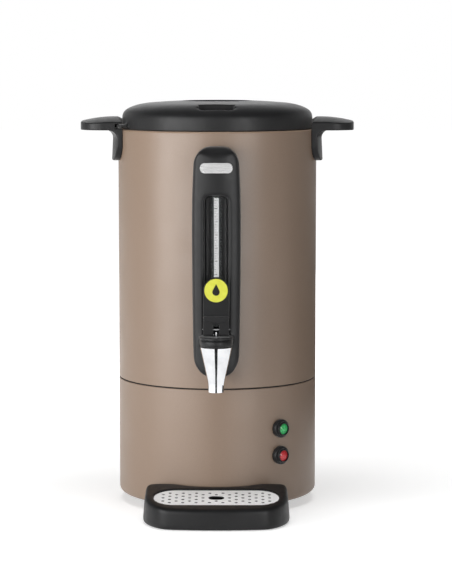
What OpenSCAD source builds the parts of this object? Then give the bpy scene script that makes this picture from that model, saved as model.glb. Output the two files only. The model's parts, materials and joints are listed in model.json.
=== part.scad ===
// Coffee urn: a painted double-walled percolator with a bayonet lid, a lever tap,
// a sight glass in a moulded front panel, and a loose drip tray with its grid.
// Millimetres. The Z axis is the axis of the casing, Z = 0 is the table top and
// the tap points to -Y.

/* [Casing] */
// Outer diameter of the painted casing
casing_d = 222; // [216:1:236]
// Thickness of the casing sheet
sheet_t = 1.2; // [1:0.1:1.6]
// Height of the rubber foot ring below the base casing
foot_h = 9; // [8:0.5:12]
// Height of the base casing, from its underside to the seam
base_h = 130; // [126:0.5:140]
// Height of the upper casing, from the seam to its rim
upper_h = 278.5; // [276:0.5:320]
// Shadow gap at the seam
seam_gap = 1.2; // [0.8:0.1:2]
// Round at the upper edge of the casing
rim_round = 4; // [3:0.5:5]
// Round at the lower edge of the base casing
base_round = 6; // [4:0.5:8]

/* [Tank] */
// Air gap between the casing and the tank
tank_gap = 9.8; // [9:0.1:12]
// Thickness of the tank sheet
tank_t = 1; // [0.8:0.1:1.4]
// Height of the tank floor above the seam
floor_rise = 19; // [18:0.5:24]
// Round between the tank floor and its wall
tank_round = 5; // [4:0.5:8]
// Diameter of the sump in the tank floor
sump_d = 64; // [58:1:70]
// Depth of the sump
sump_depth = 5; // [3:0.5:7]

/* [Lid] */
// Distance from the casing's side to the side of the lid
lid_inset = 4.5; // [4:0.1:5.5]
// Wall of the lid moulding
lid_t = 2.6; // [2.2:0.1:3]
// Height of the lid from its lower edge to its crown
lid_h = 32.5; // [31:0.1:36]
// Width of the elliptical shoulder between the wall and the crown
lid_shoulder_w = 40; // [34:0.5:46]
// Height of the elliptical shoulder
lid_shoulder_h = 14.5; // [12:0.5:16]
// Diameter of the dish around the grip
dish_d = 80; // [70:1:84]
// Depth of the dish
dish_depth = 17; // [14:0.5:18]
// Width of the grip bar across the dish
grip_bar_w = 15; // [12:0.5:20]
// Width of the steam pocket in the front shoulder
pocket_w = 39; // [28:1:42]
// Half angle of each bayonet tab
tab_half_a = 2.5; // [2:0.1:3]

/* [Handles] */
// Width of each handle
handle_w = 78; // [72:1:82]
// Reach of the grip beyond the casing
grip_reach = 41.3; // [38:0.1:46]
// Thickness of the grip at its edge
grip_t = 9.8; // [9:0.2:12]
// Extra height at the middle of the crowned grip
grip_crown = 4.9; // [3:0.1:6]
// Corner radius of the grip in plan
grip_corner_r = 26; // [16:1:30]
// Length of the leg below the grip
leg_drop = 33.8; // [30:0.1:40]
// Thickness of the leg
leg_t = 6; // [5.6:0.1:8]
// Fillet between the grip and the leg
leg_fillet = 9; // [6:0.5:11]
// Height of the bayonet slot
slot_h = 5; // [4.8:0.1:5.4]

/* [Front panel] */
// Width of the front panel
panel_w = 52.6; // [51:0.1:58]
// Depth of the front panel in front of the casing
panel_d = 27; // [26.5:0.1:30]
// Height of the panel
panel_h = 249.6; // [246:0.1:262]
// Wall of the panel moulding
panel_t = 2.4; // [2:0.1:2.8]
// Width of the sight glass channel
channel_w = 26; // [24:0.5:28]
// Outer diameter of the sight glass
glass_d = 12; // [11:0.5:12.5]
// Visible length of the white level strip
strip_h = 85; // [70:1:90]

/* [Tap] */
// Distance of the tap axis from the casing
tap_reach = 39; // [38:0.5:46]
// Height of the outlet above the round of the tank floor
outlet_rise = 15; // [13:0.5:17]
// Height of the spout
spout_h = 48.4; // [44:0.2:52]
// Upper diameter of the spout
spout_top_d = 34.8; // [33.4:0.2:35.4]
// Diameter at the spout tip
spout_tip_d = 16.8; // [16.4:0.2:18]
// Taper of the spout wall, in degrees
spout_taper = 12.75; // [12.25:0.05:13]
// Diameter of the collar
collar_d = 36.6; // [36:0.2:40]
// Height of the collar
collar_h = 9.1; // [8.6:0.1:11]
// Diameter of the valve stem
stem_d = 4; // [3.6:0.2:4.4]
// Rise of the stem at the end of the lever swing
stem_rise = 3; // [2:0.25:3.5]
// Forward swing of the lever, in degrees
lever_swing = 35; // [30:1:38]
// Width of the lever paddle
lever_w = 27.5; // [27:0.1:30]
// Height of the lever above its pin
lever_h = 56; // [50:0.5:58]
// Diameter of the round badge on the lever
badge_d = 24.8; // [20:0.2:26]

/* [Lamps] */
// Angle of the pilot lamps to the right of the front
lamp_a = 38.5; // [34:0.5:50]
// Height of the lower lamp
lamp_z = 63.4; // [52:0.2:66]
// Distance between the lamps
lamp_pitch = 29.7; // [26:0.1:34]
// Diameter of the lamp bezels
bezel_d = 20.2; // [19:0.2:22]
// Diameter of the lamp lenses
lens_d = 14.6; // [13:0.2:15]

/* [Drip tray] */
// Width of the drip tray at its foot
tray_w = 158; // [154:1:166]
// Reach of the tray in front of the casing
tray_reach = 79; // [78:0.5:90]
// Height of the tray rim at the casing
tray_back_h = 33; // [30:0.5:38]
// Forward slope of the tray rim, in degrees
tray_slope = 7.3; // [4:0.1:8]
// Wall and floor of the tray
tray_t = 2.6; // [2:0.1:3.5]
// Width of the perforated grid
grid_w = 134.5; // [124:0.5:136]
// Depth of the perforated grid
grid_l = 49.5; // [46:0.5:51]
// Thickness of the grid sheet
grid_t = 1; // [0.8:0.1:1.4]
// Length of the drain hole in the grid
drain_l = 17; // [14:0.5:22]
// Width of the drain hole in the grid
drain_w = 12; // [10:0.5:13]

/* [Percolator] */
// Outer diameter of the pump tube
pump_d = 10; // [9:0.5:12]
// Outer diameter of the filter basket
basket_d = 144; // [120:1:150]
// Height of the filter basket
basket_h = 75; // [56:1:78]

/* [Hidden] */
$fn = 96;

// Colours
paint = [0.62, 0.56, 0.51];
black = [0.12, 0.12, 0.12];
steel = [0.75, 0.75, 0.76];
chrome = [0.86, 0.87, 0.88];
rubber = [0.06, 0.06, 0.06];
silicone = [0.85, 0.84, 0.80];

// Clearances
eps = 0.5;
seat_fit = 0.15;
slip_fit = 0.1;
pin_fit = 0.05;
face_gap = 0.3;
hole_fit = 0.4;

// Casing heights and radii
casing_r = casing_d / 2;
inner_r = casing_r - sheet_t;
base_z = foot_h;
seam_z = base_z + base_h;
rim_z = seam_z + upper_h;
lip_h = 7;
cover_t = 2;
cover_z = base_z + sheet_t;
cover_r = casing_r - base_round - eps;
base_in_r = casing_r - 17;

// Tank
tank_r = inner_r - tank_gap - tank_t;
tank_out_r = tank_r + tank_t;
floor_z = seam_z + floor_rise;
sump_r = sump_d / 2;
flange_r = casing_r - lid_inset - lid_t - 0.8;
tank_top_z = rim_z + tank_t;

// Feet, rods and screws
foot_r = 10;
foot_angles = [45, 135, 225, 315];
screw_r = 2;
screw_head_r = 4;
screw_head_h = 2.4;
rod_r = 3;
rod_ring_r = tank_r - tank_round - 7;
rod_angles = [30, 150, 270];
nut_h = 5;
rod_nut_r = 6;
foot_ring_r = rod_ring_r - rod_nut_r - foot_r - 1;

// Heater
heater_t = 5.5;
heater_in_r = sump_r + 4;
heater_out_r = rod_ring_r - rod_r - 5;
heater_z = floor_z - tank_t - heater_t;
cutout_r = 8;
cutout_h = 8;
cutout_edge = 1;
element_r = 4;
element_gap = 6;
element_ring_r = heater_out_r - cutout_edge - 2 * cutout_r - element_gap - element_r;
element_open_a = 24;
element_leg_r = 3;
element_leg_a = 6;
element_leg_h = 22;

// Lid
lid_r = casing_r - lid_inset;
lid_z = rim_z + 0.5;
lid_top_z = lid_z + lid_h;
shoulder_x = lid_r - lid_shoulder_w;
shoulder_a = 78;
blend_x = shoulder_x + lid_shoulder_w * cos(shoulder_a);
blend_slope = atan(lid_shoulder_h / lid_shoulder_w / tan(shoulder_a));
crown_r = blend_x / sin(blend_slope);
crown_z = lid_top_z - crown_r;
shoulder_z = crown_z + crown_r * cos(blend_slope) - lid_shoulder_h * sin(shoulder_a);
dish_r = dish_d / 2;
dish_z = lid_top_z - dish_depth;
dish_floor_r = dish_r - 7;
dish_round = 6;
seal_h = 2.2;
seal_z = tank_top_z + 0.2;
seal_in_r = tank_r - 0.8;
seal_out_r = lid_r - lid_t - 0.6;
liner_t = 1.5;
liner_z = seal_z + seal_h + face_gap;
liner_r = lid_r - lid_t - 0.3;
skirt_r = seal_in_r - face_gap;
skirt_t = 1.5;
skirt_h = 10;
boss_ring_r = 62;
boss_r = 4.2;
grip_bar_drop = 4;
lid_screw_r = 1.5;
lid_screw_head_r = 3.4;
lid_screw_len = 9;
lid_boss_angles = [45, 135, 225, 315];
pocket_l = 17;
pocket_depth = 6.5;
pocket_r = lid_r - 18;
vent_d = 3;

// Handles and bayonet
slot_z = tank_top_z + 1.4;
tab_gap = 0.5;
tab_t = slot_h - 2 * tab_gap;
tab_z = slot_z + tab_gap;
tab_in_r = lid_r - lid_t / 2;
slot_r = casing_r + 8;
lid_turn_a = asin(handle_w / 2 / slot_r) + tab_half_a + 0.37;
tab_out_r = slot_r - 1.5;
roof_r = casing_r + 0.6;
grip_x = casing_r + grip_reach;
grip_z = slot_z - 2.4;
grip_edge_z = grip_z + grip_t;
grip_top_z = grip_edge_z + grip_crown;
crown_x = casing_r + 4;
crown_reach = min(handle_w / 2, grip_x - crown_x);
grip_crown_r = (pow(crown_reach, 2) + pow(grip_crown, 2)) / (2 * grip_crown);
leg_z = grip_z - leg_drop;
leg_corner_r = 18;
leg_flare = 1.2;
handle_screw_a = 9;
handle_screw_z = leg_z + leg_drop / 2;
screw_cover = 1.4;
screw_end_room = 0.5;
handle_screw_len = leg_t + sheet_t - screw_cover;

// Tap heights
outlet_z = floor_z + tank_round + outlet_rise;
tap_y = casing_r + tap_reach;
spout_z = outlet_z + 13.4;
tip_z = spout_z - spout_h;
collar_z = spout_z + collar_h;
bonnet_t = 2.5;
bonnet_z = collar_z + bonnet_t;
pin_h = 7;
pin_z = bonnet_z + pin_h;
pin_r = 1.2;

// Front panel
panel_z = outlet_z - 24;
panel_top_z = panel_z + panel_h;
panel_y = casing_r + panel_d;
panel_corner_r = 20.5;
panel_edge_r = 11;
panel_front_r = 70;
panel_end_r = 14;
spout_relief = 0.7;
panel_screw_zs = [panel_z + 7.5, panel_top_z - 16];
panel_boss_r = 4.4;
panel_screw_len = 12;
plate_w = 34.6;
plate_h = 10.8;
plate_t = 1;
plate_z = panel_top_z - 22.5;
channel_top_z = panel_top_z - 52;
channel_corner_r = 6;
glass_r = glass_d / 2;
glass_t = 1.4;
glass_y = casing_r + 12;
strip_w = 6.7;
strip_t = 0.8;
strip_z = channel_top_z - 3.7 - strip_h;
channel_y = glass_y - glass_r - strip_t - 0.2;

// Shank, tee and valve
shank_r = 8;
shank_bore_r = 5;
shank_in_y = tank_r - 13;
shank_flange_r = 13;
shank_flange_t = 3;
washer_t = 3;
flange_y = tank_out_r + washer_t;
tank_nut_r = 14;
tank_nut_t = 7;
tee_r = 9;
tee_y0 = glass_y - tee_r;
tee_y1 = tap_y - spout_top_d / 2 - hole_fit;
stub_r = 6.5;
stub_y1 = tap_y - 9;
socket_r = glass_r + 1.6;
socket_z = collar_z - 6.2;
glass_foot_z = socket_z - 6;
glass_top_z = channel_top_z + 8;
seal_ring_h = 1.9;
chamber_r = 9.5;
seat_z = outlet_z - 6;
outlet_r = 6.4;
boss_y = tee_y1 + slip_fit;
tap_boss_r = 9;
tip_straight = 2.5;
plug_r = 15;
spring_pocket_r = 6.5;
spring_pocket_h = collar_h - 1.5;
stem_r = stem_d / 2;
stem_plate_r = 5;
stem_plate_t = 1.6;
stem_foot_z = seat_z + 3;
cup_r = chamber_r - 0.7;
cup_h = 8.1;
cup_z = seat_z + face_gap;
cup_top_z = cup_z + cup_h;
cup_nose_r = outlet_r - 1;
cup_nose_h = 3.4;
eye_r = 3.2;
eye_w = 5;

// Valve spring
spring_r = 4.6;
spring_wire_r = 0.5;
spring_turns = 5;
spring_z0 = cup_top_z + stem_plate_t + spring_wire_r + 0.2;
spring_z1 = spring_pocket_h + spout_z - spring_wire_r - 0.2;
spring_pitch = (spring_z1 - spring_z0) / spring_turns;

// Lever
yoke_w = lever_w;
yoke_slot_w = 6.6;
yoke_slot_top = 6.8;
yoke_back = 5.5;
cam_gap = 0.3;
cam_h = pin_h - cam_gap;
cam_k = stem_rise / (lever_swing * PI / 180);
cam_end_a = lever_swing + 5;
paddle_lean = 11;
paddle_t = 6;
lip_v = 15;
lip_u = 13;
lip_deep = 8;
lip_tall = 6.2;
lip_proud = 2.6;
lip_corner_r = 3.6;
lever_pin_l = yoke_w + 2.4;
badge_t = 1;

// Lamps
bezel_r = bezel_d / 2;
lens_r = lens_d / 2;
lamp_neck_r = lens_r + 1.2;
bezel_h = 5;
bezel_round = 1.6;
lens_dome_h = 3.4;
lamp_len = 20;
lamp_nut_r = 13;
lamp_nut_h = 4;

// Gland and terminals
gland_z = 40;
gland_r = 8;
gland_flange_r = 11;
gland_proud = 14;
gland_bore_r = 3.6;
gland_len = 22;
gland_nut_r = 12.5;
terminal_w = 42;
terminal_d = 18;
terminal_h = 15;
terminal_y = casing_r - 56;

// Drip tray
tray_front = casing_r + tray_reach;
tray_corner_r = 27;
tray_bow_r = 350;
tray_horn = 12;
tray_horn_r = 8;
tray_draft = 0.962;
tray_draft_h = 40;
tray_gap = 0.5;
grid_gap = 11.3;
grid_drop = 2.2;
grid_y = grid_gap + grid_l / 2;
grid_corner_r = grid_l / 2 - 0.75;
grid_fit = 0.5;
grid_ledge = 4;
grid_rest = 0.15;
perf_d = 3.5;
perf_x = 14.3;
perf_y = 5.2;
perf_edge = 4.6;

// Percolator
pump_r = pump_d / 2;
pump_t = 0.8;
pump_bell_r = sump_r - 3;
pump_bell_h = 9;
bell_z = floor_z - sump_depth;
bell_top_z = bell_z + pump_bell_h;
bell_seat_z = bell_top_z - 3;
basket_r = basket_d / 2;
basket_t = 0.8;
basket_z = rim_z - 36.5 - basket_h;
basket_hole_r = 1.6;
sleeve_r = pump_r + slip_fit + basket_t;
stop_h = 4;
stop_w = 3;
cover_lip = 3;
pump_top_z = basket_z + basket_h + 13;

// Points along an arc
function arc(c, r, a0, a1, n = 12) =
    [for (i = [0 : n]) let (a = a0 + (a1 - a0) * i / n) c + r * [cos(a), sin(a)]];

// Distance from the axis at which a flat face of half width w meets a round wall
function flat_seat(wall_r, w) = sqrt(pow(wall_r, 2) - pow(w, 2));

// Point of the lid's elliptical shoulder at the parameter a, moved inwards by a wall o
function shoulder_point(a, o) =
    [shoulder_x + (lid_shoulder_w - o) * cos(a), shoulder_z + (lid_shoulder_h - o) * sin(a)];

// Half outline of the lid, moved inwards by a wall o
function lid_outline(o) = concat(
    [[0, lid_z], [lid_r - o, lid_z]],
    [for (i = [0 : 16]) shoulder_point(shoulder_a * i / 16, o)],
    arc([0, crown_z], crown_r - o, 90 - 0.85 * blend_slope, 90, 8));

// Half outline of the dish, moved outwards by a wall o
function dish_outline(o) = concat(
    [[0, dish_z - o]],
    arc([dish_floor_r - dish_round, dish_z + dish_round], dish_round + o, -90, -20, 8),
    [[dish_r + o, lid_top_z + 1], [0, lid_top_z + 1]]);

// Point of the lever cam whose normal stands at angle a to the vertical
function cam_point(a) =
    let (p = cam_h + cam_k * a * PI / 180)
    [p * sin(a) + cam_k * cos(a), cam_k * sin(a) - p * cos(a)];

// Whether a grid perforation at x, y keeps its distance from the grid's edge
function inside_grid(x, y) =
    let (qx = max(abs(x) - (grid_w / 2 - grid_corner_r), 0))
    let (qy = max(abs(y) - (grid_l / 2 - grid_corner_r), 0))
    norm([qx, qy]) <= grid_corner_r - perf_edge;

// Ring about the Z axis
module ring(r_in, r_out, z0, z1) {
    rotate_extrude() translate([r_in, z0]) square([r_out - r_in, z1 - z0]);
}

// Places children with their Z axis pointing out of the front, at height z
module to_front(z) {
    translate([0, 0, z]) rotate([90, 0, 0]) children();
}

// Places children with their Z axis pointing out of the back, at height z
module to_back(z) {
    translate([0, 0, z]) rotate([90, 0, 180]) children();
}

// Places children on the axis of a pilot lamp
module at_lamp(z) {
    rotate([0, 0, lamp_a]) to_front(z) children();
}

// Places children on the tap axis
module at_tap() {
    translate([0, -tap_y, 0]) children();
}

// Places children with Y along the forward direction and Z up, X across, about the lever pin
module at_pin() {
    translate([0, -tap_y, pin_z]) children();
}

// Rectangle with round corners
module round_rect(x0, y0, x1, y1, r) {
    translate([x0 + r, y0]) square([x1 - x0 - 2 * r, y1 - y0]);
    translate([x0, y0 + r]) square([x1 - x0, y1 - y0 - 2 * r]);
    for (x = [x0 + r, x1 - r], y = [y0 + r, y1 - r])
        translate([x, y]) circle(r);
}

// Quarter of a round sheet edge in the first quadrant
module quarter_band(r, t) {
    intersection() {
        difference() {
            circle(r);
            circle(r - t);
        }
        square(r + 1);
    }
}

// Half section of a cup with a round lower corner
module cup_section(r, z0, z1, round_r) {
    translate([0, z0]) square([r - round_r, z1 - z0]);
    translate([0, z0 + round_r]) square([r, z1 - z0 - round_r]);
    translate([r - round_r, z0 + round_r]) circle(round_r);
}

// Hexagon nut with a round bore
module hex_nut(r, bore_r, z0, z1) {
    difference() {
        translate([0, 0, z0]) cylinder(r = r, h = z1 - z0, $fn = 6);
        translate([0, 0, z0 - 1]) cylinder(r = bore_r, h = z1 - z0 + 2);
    }
}

// Screw with a flat head under z = 0 and its shank above
module pan_screw(r, head_r, head_h, len) {
    rotate_extrude() {
        translate([0, -head_h]) square([head_r, head_h]);
        square([r, len]);
    }
}

// Places children on each handle screw of the +X handle, Z pointing outwards
module at_handle_screws() {
    for (a = [-handle_screw_a, handle_screw_a])
        rotate([0, 0, a]) translate([0, 0, handle_screw_z]) rotate([0, 90, 0]) children();
}

// Runs its children for the right and the left handle
module both_sides() {
    for (a = [0, 180]) rotate([0, 0, a]) children();
}

module outer_shell() {
    color(paint) difference() {
        rotate_extrude() {
            translate([inner_r, seam_z + seam_gap])
                square([sheet_t, upper_h - seam_gap - rim_round]);
            translate([casing_r - rim_round, rim_z - rim_round]) quarter_band(rim_round, sheet_t);
            translate([tank_out_r + eps, rim_z - sheet_t])
                square([casing_r - rim_round - tank_out_r - eps, sheet_t]);
        }
        to_front(outlet_z) cylinder(r = shank_r + hole_fit, h = casing_r + 1);
        for (z = panel_screw_zs) to_front(z) cylinder(r = screw_r + hole_fit, h = casing_r + 1);
        both_sides() at_handle_screws() cylinder(r = screw_r + hole_fit, h = casing_r + 1);
    }
}

module base_housing() {
    color(paint) difference() {
        rotate_extrude() {
            translate([inner_r, base_z + base_round]) square([sheet_t, base_h - base_round]);
            translate([casing_r - base_round, base_z + base_round])
                mirror([0, 1]) quarter_band(base_round, sheet_t);
            translate([base_in_r, base_z]) square([casing_r - base_round - base_in_r, sheet_t]);
            translate([inner_r - sheet_t - slip_fit, seam_z - lip_h]) square([sheet_t, 2 * lip_h]);
            translate([inner_r - sheet_t - slip_fit, seam_z - lip_h])
                square([sheet_t + slip_fit + sheet_t / 2, lip_h / 2]);
        }
        for (z = [lamp_z, lamp_z + lamp_pitch])
            at_lamp(z) cylinder(r = lamp_neck_r + slip_fit, h = casing_r + 1);
        to_back(gland_z) cylinder(r = gland_r + slip_fit, h = casing_r + 1);
    }
}

module base_cover() {
    vent_n = 24;
    vent_w = 5;
    vent_l = 20;
    vent_r = 34;
    color(black) difference() {
        translate([0, 0, cover_z]) cylinder(r = cover_r, h = cover_t);
        for (i = [0 : vent_n - 1])
            rotate([0, 0, 360 * (i + 0.5) / vent_n])
                translate([vent_r, 0, cover_z - 1]) linear_extrude(cover_t + 2)
                    round_rect(0, -vent_w / 2, vent_l, vent_w / 2, vent_w / 2 - 0.2);
        for (a = foot_angles)
            rotate([0, 0, a]) translate([foot_ring_r, 0, 0])
                cylinder(r = screw_r + slip_fit, h = cover_z + cover_t + 1);
        for (a = rod_angles)
            rotate([0, 0, a]) translate([rod_ring_r, 0, 0])
                cylinder(r = rod_r + slip_fit, h = cover_z + cover_t + 1);
    }
}

module foot_ring() {
    recess_r = screw_head_r + 0.8;
    recess_h = cover_z / 2;
    color(rubber) difference() {
        rotate_extrude() translate([foot_ring_r, 0]) polygon([
            [1.2 - foot_r, 0], [foot_r - 1.2, 0], [foot_r, 1.5],
            [foot_r - 0.8, cover_z], [0.8 - foot_r, cover_z], [-foot_r, 1.5]]);
        for (a = foot_angles) rotate([0, 0, a]) translate([foot_ring_r, 0, -1]) {
            cylinder(r = recess_r, h = recess_h + 1);
            cylinder(r = screw_r + slip_fit, h = cover_z + 2);
        }
    }
}

module foot_screws() {
    color(steel) for (a = foot_angles)
        rotate([0, 0, a]) translate([foot_ring_r, 0, cover_z / 2])
            pan_screw(screw_r, screw_head_r, screw_head_h, cover_z / 2 + cover_t + 4);
}

module tie_rods() {
    color(steel) for (a = rod_angles)
        rotate([0, 0, a]) translate([rod_ring_r, 0, cover_z - nut_h])
            cylinder(r = rod_r, h = floor_z - tank_t - cover_z + nut_h);
}

module tie_nuts() {
    color(steel) for (a = rod_angles)
        rotate([0, 0, a]) translate([rod_ring_r, 0, 0])
            hex_nut(rod_nut_r, rod_r + slip_fit, cover_z - nut_h, cover_z);
}

module inner_tank() {
    color(steel) difference() {
        rotate_extrude() {
            difference() {
                union() {
                    cup_section(tank_out_r, floor_z - tank_t, tank_top_z, tank_round + tank_t);
                    translate([0, floor_z - sump_depth - tank_t])
                        square([sump_r + tank_t, sump_depth + tank_t]);
                }
                cup_section(tank_r, floor_z, tank_top_z + 1, tank_round);
                translate([0, floor_z - sump_depth]) square([sump_r, sump_depth + 1]);
            }
            translate([tank_r, rim_z]) square([flange_r - tank_r, tank_t]);
        }
        to_front(outlet_z) cylinder(r = shank_r + slip_fit, h = casing_r);
    }
}

module heater_plate() {
    color(steel) difference() {
        ring(heater_in_r, heater_out_r, heater_z, heater_z + heater_t);
        rotate_extrude() translate([element_ring_r, heater_z]) circle(element_r + slip_fit);
    }
}

module heating_element() {
    color([0.45, 0.42, 0.40]) {
        rotate([0, 0, 90 + element_open_a / 2]) rotate_extrude(angle = 360 - element_open_a)
            translate([element_ring_r, heater_z]) circle(element_r);
        for (a = [90 - element_open_a / 2 - element_leg_a, 90 + element_open_a / 2 + element_leg_a])
            rotate([0, 0, a]) translate([element_ring_r, 0, heater_z - element_leg_h])
                cylinder(r = element_leg_r, h = element_leg_h);
    }
}

// Disc control with two blade terminals, its flat top at z
module disc_control(r, h, z) {
    blade_w = 6.3;
    blade_t = 0.8;
    blade_h = 9;
    rotate_extrude() {
        translate([0, z - 1.5]) square([r, 1.5]);
        translate([0, z - h]) square([r - 2, h - 1]);
    }
    for (x = [-r / 2, r / 2])
        translate([x - blade_t / 2, -blade_w / 2, z - h - blade_h]) cube([blade_t, blade_w, blade_h + 1]);
}

module thermostat() {
    color(black) disc_control(13, 9, floor_z - sump_depth - tank_t);
}

module thermal_cutout() {
    color(black) rotate([0, 0, 210]) translate([heater_out_r - cutout_edge - cutout_r, 0, 0])
        disc_control(cutout_r, cutout_h, heater_z);
}

module terminal_block() {
    hole_pitch = terminal_w / 4;
    color([0.9, 0.88, 0.82]) difference() {
        translate([-terminal_w / 2, terminal_y, cover_z + cover_t])
            cube([terminal_w, terminal_d, terminal_h]);
        for (i = [-1 : 1])
            translate([i * hole_pitch, terminal_y + terminal_d / 2, cover_z + cover_t + terminal_h / 2])
                cylinder(r = 2.6, h = terminal_h);
    }
}

module cord_gland() {
    color(black) difference() {
        union() {
            to_back(gland_z) translate([0, 0, casing_r - gland_len]) cylinder(r = gland_r, h = gland_len);
            difference() {
                to_back(gland_z) rotate_extrude() polygon(concat(
                    [[0, casing_r - 2], [gland_flange_r, casing_r - 2], [gland_flange_r, casing_r + 3]],
                    arc([gland_flange_r - 3, casing_r + gland_proud - 3], 3, 20, 90, 6),
                    [[0, casing_r + gland_proud]]));
                cylinder(r = casing_r + seat_fit, h = seam_z);
            }
        }
        to_back(gland_z) translate([0, 0, casing_r - gland_len - 1])
            cylinder(r = gland_bore_r, h = gland_len + gland_proud + 2);
    }
}

module gland_nut() {
    seat = flat_seat(inner_r, gland_nut_r) - slip_fit;
    color(black) to_back(gland_z) hex_nut(gland_nut_r, gland_r + slip_fit, seat - nut_h, seat);
}

// Plan of the grip, for the +X side
module grip_plan() {
    inner_x = casing_r - 12;
    translate([inner_x, -handle_w / 2]) square([grip_x - grip_corner_r - inner_x, handle_w]);
    translate([inner_x, grip_corner_r - handle_w / 2])
        square([grip_x - inner_x, handle_w - 2 * grip_corner_r]);
    for (s = [-1, 1])
        translate([grip_x - grip_corner_r, s * (handle_w / 2 - grip_corner_r)]) circle(grip_corner_r);
}

// Handle on the +X side, with its bayonet slot open to the back
module handle_form() {
    top_x = casing_r + leg_t;
    slot_a0 = -tab_half_a - 2;
    slot_a1 = 40;
    difference() {
        union() {
            intersection() {
                translate([0, 0, grip_z]) linear_extrude(grip_t + grip_crown + 2) grip_plan();
                translate([crown_x, 0, grip_top_z - grip_crown_r]) rotate([90, 0, 0])
                    sphere(grip_crown_r, $fn = 128);
            }
            intersection() {
                rotate_extrude() polygon(concat(
                    [[inner_r, leg_z], [top_x + leg_flare, leg_z]],
                    arc([top_x + leg_fillet, grip_z + pin_fit - leg_fillet], leg_fillet, 180, 90, 8),
                    [[top_x + leg_fillet, grip_z + 1], [inner_r, grip_z + 1]]));
                rotate([90, 0, 90]) linear_extrude(grip_x)
                    round_rect(-handle_w / 2, leg_z, handle_w / 2, grip_z + 2 * leg_corner_r, leg_corner_r);
            }
        }
        translate([0, 0, leg_z - 1]) cylinder(r = casing_r + seat_fit, h = slot_z - leg_z + 3);
        translate([0, 0, slot_z + slot_h / 3]) cylinder(r = roof_r, h = grip_top_z - slot_z);
        rotate([0, 0, slot_a0]) rotate_extrude(angle = slot_a1 - slot_a0)
            translate([inner_r, slot_z]) square([slot_r - inner_r, slot_h]);
        at_handle_screws() cylinder(r = screw_r + slip_fit, h = inner_r + handle_screw_len + screw_end_room);
    }
}

module right_handle() {
    color(black) handle_form();
}

module left_handle() {
    color(black) rotate([0, 0, 180]) handle_form();
}

module handle_screws() {
    seat = flat_seat(inner_r, screw_head_r) - pin_fit;
    color(steel) both_sides() at_handle_screws() translate([0, 0, seat])
        pan_screw(screw_r, screw_head_r, screw_head_h, handle_screw_len);
}

// Front outline of the panel, moved inwards by a wall o
module panel_outline(o) {
    r_foot = panel_w / 2 - o;
    r_top = panel_corner_r - o;
    top = panel_top_z - o;
    foot = panel_z + panel_w / 2;
    translate([0, foot]) circle(r_foot);
    translate([-r_foot, foot]) square([2 * r_foot, top - r_top - foot]);
    translate([r_top - r_foot, top - 2 * r_top]) square([2 * (r_foot - r_top), 2 * r_top]);
    for (s = [-1, 1])
        translate([s * (r_foot - r_top), top - r_top]) circle(r_top);
}

// Solid form of the panel, moved inwards by a wall o
module panel_form(o) {
    back = casing_r - 16;
    intersection() {
        to_front(0) linear_extrude(panel_y + 1) panel_outline(o);
        linear_extrude(panel_top_z + 1) intersection() {
            round_rect(o - panel_w / 2, o - panel_y, panel_w / 2 - o, -back + panel_edge_r, panel_edge_r - o);
            translate([0, panel_front_r - panel_y]) circle(panel_front_r - o, $fn = 180);
        }
        rotate([90, 0, 90]) translate([0, 0, -panel_w]) linear_extrude(2 * panel_w)
            round_rect(o - panel_y, panel_z + o, panel_end_r - back, panel_top_z - o, panel_end_r - o);
    }
}

// Sight glass channel, grown by a wall o
module channel_form(o) {
    rotate([90, 0, 0]) translate([0, 0, channel_y - o]) linear_extrude(panel_d + o)
        round_rect(-channel_w / 2 - o, collar_z - channel_corner_r - o,
            channel_w / 2 + o, channel_top_z + o, channel_corner_r);
}

// Tongue that carries the tap collar in front of the panel
module collar_form() {
    translate([0, 0, spout_z]) linear_extrude(collar_h) {
        translate([0, -tap_y]) circle(collar_d / 2);
        translate([-collar_d / 2, -tap_y]) square([collar_d, tap_y - panel_y + panel_edge_r]);
    }
}

// Space for the spout in front of the panel, grown by a wall o
module spout_space(o) {
    top_r = spout_top_d / 2 + spout_relief + o;
    at_tap() translate([0, 0, panel_z])
        cylinder(r1 = top_r - (spout_z - panel_z) * tan(spout_taper), r2 = top_r, h = spout_z - panel_z);
}

module front_panel() {
    color(black) difference() {
        union() {
            panel_form(0);
            collar_form();
        }
        difference() {
            panel_form(panel_t);
            channel_form(panel_t);
            spout_space(panel_t);
            for (z = panel_screw_zs)
                to_front(z) cylinder(r = panel_boss_r, h = panel_y);
        }
        spout_space(0);
        cylinder(r = casing_r + seat_fit, h = rim_z);
        difference() {
            channel_form(0);
            collar_form();
        }
        at_tap() translate([0, 0, spout_z - 1]) cylinder(r = plug_r + slip_fit, h = collar_h + 2);
        to_front(outlet_z) cylinder(r = tap_boss_r + hole_fit, h = tap_y);
        translate([0, -glass_y, outlet_z])
            cylinder(r = socket_r + hole_fit, h = socket_z + seal_ring_h + hole_fit - outlet_z);
        translate([0, -glass_y, socket_z + 1]) cylinder(r = glass_r + hole_fit, h = glass_top_z - socket_z);
        for (z = panel_screw_zs)
            to_front(z) cylinder(r = screw_r + slip_fit, h = inner_r + panel_screw_len + 0.5);
    }
}

module panel_screws() {
    seat = flat_seat(inner_r, screw_head_r) - pin_fit;
    color(steel) for (z = panel_screw_zs)
        to_front(z) translate([0, 0, seat])
            pan_screw(screw_r, screw_head_r, screw_head_h, panel_screw_len);
}

module badge_plate() {
    sunk = 0.4;
    color(chrome) difference() {
        to_front(plate_z) linear_extrude(panel_y + plate_t)
            round_rect(-plate_w / 2, -plate_h / 2, plate_w / 2, plate_h / 2, plate_h / 2 - sunk);
        translate([0, panel_front_r - panel_y, panel_z])
            cylinder(r = panel_front_r + seat_fit / 3, h = panel_h, $fn = 180);
        translate([-panel_w, -casing_r, panel_z]) cube([2 * panel_w, 2 * casing_r, panel_h]);
    }
}

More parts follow.
